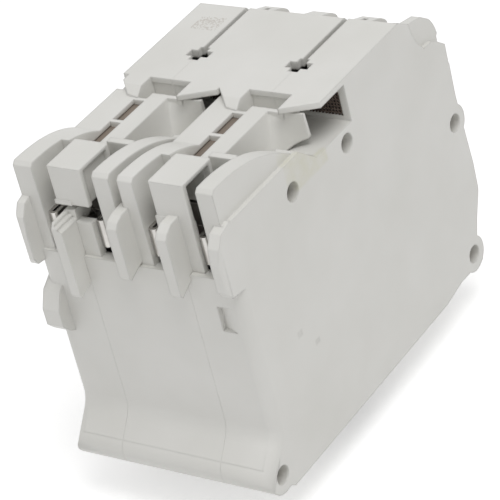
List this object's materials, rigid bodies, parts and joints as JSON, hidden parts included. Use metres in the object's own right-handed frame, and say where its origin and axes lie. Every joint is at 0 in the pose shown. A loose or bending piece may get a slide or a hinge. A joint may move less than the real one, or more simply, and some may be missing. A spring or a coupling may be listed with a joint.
{
  "type": "branch circuit breaker",
  "caption": "Plug-on branch circuit breaker with tied toggles, a slotted line end crown, load blade slots, vents and a trip mechanism.",
  "frame": {"origin": "on the back face, on the middle of the breaker", "axes": "+X across the poles, +Y from the line end to the load end, +Z out of the back face; the toggles point down to -Z"},
  "size_m": [0.0508, 0.0951, 0.0826],
  "materials": {
    "housing": "satin",
    "toggle_black": "satin",
    "tie_black": "satin",
    "jaw_metal": "satin",
    "contact_silver": "polished",
    "arm_copper": "satin",
    "bimetal": "satin",
    "steel": "satin",
    "spring_steel": "satin",
    "rivet_steel": "satin",
    "fibre": "matte",
    "trip_plastic": "satin"
  },
  "bodies": {
    "case": {"left_cover": "housing", "centre_frame": "housing", "right_cover": "housing", "case_rivets": "rivet_steel", "pole_1_line_terminal": "jaw_metal", "pole_1_fixed_contact": "contact_silver", "pole_1_arc_plates": "steel", "pole_1_chute_sides": "fibre", "pole_1_load_terminal": "jaw_metal", "pole_1_bimetal": "bimetal", "pole_1_magnet_yoke": "steel", "pole_2_line_terminal": "jaw_metal", "pole_2_fixed_contact": "contact_silver", "pole_2_arc_plates": "steel", "pole_2_chute_sides": "fibre", "pole_2_load_terminal": "jaw_metal", "pole_2_bimetal": "bimetal", "pole_2_magnet_yoke": "steel"},
    "handle": {"tie_pin": "steel", "tie_bar": "tie_black", "pole_1_toggle": "toggle_black", "pole_2_toggle": "toggle_black"},
    "trip_bar": {"trip_bar": "trip_plastic"},
    "arm_1": {"pole_1_moving_arm": "arm_copper", "pole_1_moving_contact": "contact_silver", "pole_1_spring": "spring_steel"},
    "cradle_1": {"pole_1_cradle": "steel"},
    "armature_1": {"pole_1_armature": "steel"},
    "arm_2": {"pole_2_moving_arm": "arm_copper", "pole_2_moving_contact": "contact_silver", "pole_2_spring": "spring_steel"},
    "cradle_2": {"pole_2_cradle": "steel"},
    "armature_2": {"pole_2_armature": "steel"}
  },
  "joints": [
    {"name": "handle_swing", "type": "hinge", "parent": "case", "child": "handle", "pos_m": [0, -0.021, -0.064], "axis": [1, 0, 0], "range_deg": [-48, 0]},
    {"name": "trip_bar_turn", "type": "hinge", "parent": "case", "child": "trip_bar", "pos_m": [0, 0.013, -0.057], "axis": [1, 0, 0], "range_deg": [-12, 0]},
    {"name": "arm_1_swing", "type": "hinge", "parent": "handle", "child": "arm_1", "pos_m": [-0.0127, -0.02344, -0.05852], "axis": [1, 0, 0], "range_deg": [0, 68.1]},
    {"name": "cradle_1_turn", "type": "hinge", "parent": "case", "child": "cradle_1", "pos_m": [-0.0127, 0.002, -0.052], "axis": [1, 0, 0], "range_deg": [0, 20.1]},
    {"name": "armature_1_turn", "type": "hinge", "parent": "case", "child": "armature_1", "pos_m": [-0.0127, 0.018, -0.0295], "axis": [1, 0, 0], "range_deg": [0, 3.7]},
    {"name": "arm_2_swing", "type": "hinge", "parent": "handle", "child": "arm_2", "pos_m": [0.0127, -0.02344, -0.05852], "axis": [1, 0, 0], "range_deg": [0, 68.1]},
    {"name": "cradle_2_turn", "type": "hinge", "parent": "case", "child": "cradle_2", "pos_m": [0.0127, 0.002, -0.052], "axis": [1, 0, 0], "range_deg": [0, 20.1]},
    {"name": "armature_2_turn", "type": "hinge", "parent": "case", "child": "armature_2", "pos_m": [0.0127, 0.018, -0.0295], "axis": [1, 0, 0], "range_deg": [0, 3.7]}
  ],
  "couplings": [
    {"joint": "arm_1_swing", "follows": "handle_swing", "ratio": -1.4167},
    {"joint": "cradle_1_turn", "follows": "trip_bar_turn", "ratio": -1.667},
    {"joint": "armature_1_turn", "follows": "trip_bar_turn", "ratio": -0.3},
    {"joint": "arm_2_swing", "follows": "handle_swing", "ratio": -1.4167},
    {"joint": "cradle_2_turn", "follows": "trip_bar_turn", "ratio": -1.667},
    {"joint": "armature_2_turn", "follows": "trip_bar_turn", "ratio": -0.3}
  ]
}
